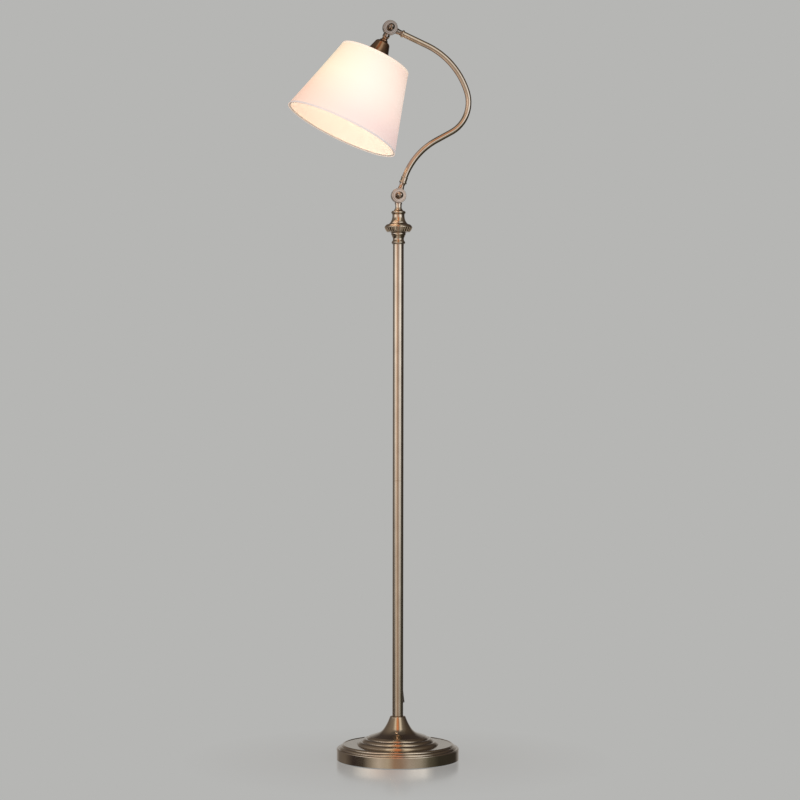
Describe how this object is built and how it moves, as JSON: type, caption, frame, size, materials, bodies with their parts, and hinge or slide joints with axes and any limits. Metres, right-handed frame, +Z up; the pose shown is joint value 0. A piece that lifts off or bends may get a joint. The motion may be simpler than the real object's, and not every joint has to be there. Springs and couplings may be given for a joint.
{
  "type": "floor lamp",
  "caption": "Tall floor lamp with a round weighted base, a slim pole, a turned stack, an S-curved tilting arm and a fabric shade on a tilting head.",
  "frame": {"origin": "centre of the round base on the floor, on the pole's axis", "axes": "+Z up the pole; the arm lies in the XZ plane with its belly toward +X and the shade over -X; the clamp knobs face -Y"},
  "size_m": [0.3768, 0.248, 1.4986],
  "materials": {
    "aged_nickel": "brushed, plated and lightly browned",
    "aged_nickel_pole": "drawn tube, plated, brushed along its length",
    "aged_nickel_base": "spun, brushed in rings, plated and lightly browned",
    "cast_weight": "as cast, black",
    "pad": "matt foam rubber",
    "zinc_steel": "zinc plated",
    "plain_brass": "turned",
    "outlet_bush": "moulded",
    "flex_cover": "smooth PVC",
    "friction_fibre": "pressed fibre",
    "holder_black": "moulded thermoset",
    "shade_cloth": "plain weave bonded to a stiff lining",
    "shade_tape": "folded bias tape",
    "white_wire": "white enamel",
    "bulb_glass": "frosted",
    "bulb_cap": "rolled thread",
    "bulb_insulator": "moulded"
  },
  "bodies": {
    "stand": {"base_cover": "aged_nickel_base", "base_weight": "cast_weight", "base_pad": "pad", "base_stud": "zinc_steel", "base_washer": "zinc_steel", "base_lock_washer": "zinc_steel", "base_nut": "zinc_steel", "pole_foot_insert": "plain_brass", "lower_pole": "aged_nickel_pole", "cord_outlet": "outlet_bush", "lower_pole_top_insert": "plain_brass", "pole_joint_nipple": "zinc_steel", "upper_pole_bottom_insert": "plain_brass", "upper_pole": "aged_nickel_pole", "upper_pole_top_insert": "plain_brass", "spindle_nipple": "zinc_steel", "pole_collar": "aged_nickel", "fluted_knop": "aged_nickel", "vase": "aged_nickel", "lower_knuckle_rear": "aged_nickel", "lower_friction_ring": "friction_fibre", "lower_clamp_bolt": "aged_nickel", "pole_wire": "flex_cover"},
    "arm": {"lower_knuckle_front": "aged_nickel", "arm_tube": "aged_nickel", "arm_lower_ferrule": "aged_nickel", "arm_upper_ferrule": "aged_nickel", "upper_knuckle_rear": "aged_nickel", "upper_friction_ring": "friction_fibre", "upper_clamp_bolt": "aged_nickel", "arm_wire": "flex_cover"},
    "head": {"upper_knuckle_front": "aged_nickel", "neck_spool": "aged_nickel", "socket_cup": "aged_nickel", "holder_cap": "holder_black", "holder_body": "holder_black", "holder_base": "holder_black", "holder_screw_shell": "plain_brass", "holder_contact": "plain_brass", "shade_nut": "holder_black", "shade_fitter": "white_wire", "shade_top_hoop": "white_wire", "shade_bottom_hoop": "white_wire", "shade_fabric": "shade_cloth", "shade_top_trim": "shade_tape", "shade_bottom_trim": "shade_tape", "bulb_globe": "bulb_glass", "bulb_cap": "bulb_cap", "bulb_insulator": "bulb_insulator", "bulb_contact": "plain_brass", "head_wire": "flex_cover"},
    "arm_knob": {"lower_clamp_knob": "aged_nickel"},
    "head_knob": {"upper_clamp_knob": "aged_nickel"}
  },
  "joints": [
    {"name": "arm_tilt", "type": "hinge", "parent": "stand", "child": "arm", "pos_m": [0, 0, 1.1435], "axis": [0, -1, 0], "range_deg": [-45, 60]},
    {"name": "head_tilt", "type": "hinge", "parent": "arm", "child": "head", "pos_m": [-0.01796, 0, 1.48363], "axis": [0, 1, 0], "range_deg": [-5, 75]},
    {"name": "arm_knob_turn", "type": "hinge", "parent": "stand", "child": "arm_knob", "pos_m": [0, 0, 1.1435], "axis": [0, -1, 0], "range_deg": [0, 360]},
    {"name": "head_knob_turn", "type": "hinge", "parent": "arm", "child": "head_knob", "pos_m": [-0.01796, 0, 1.48363], "axis": [0, -1, 0], "range_deg": [0, 360]}
  ]
}
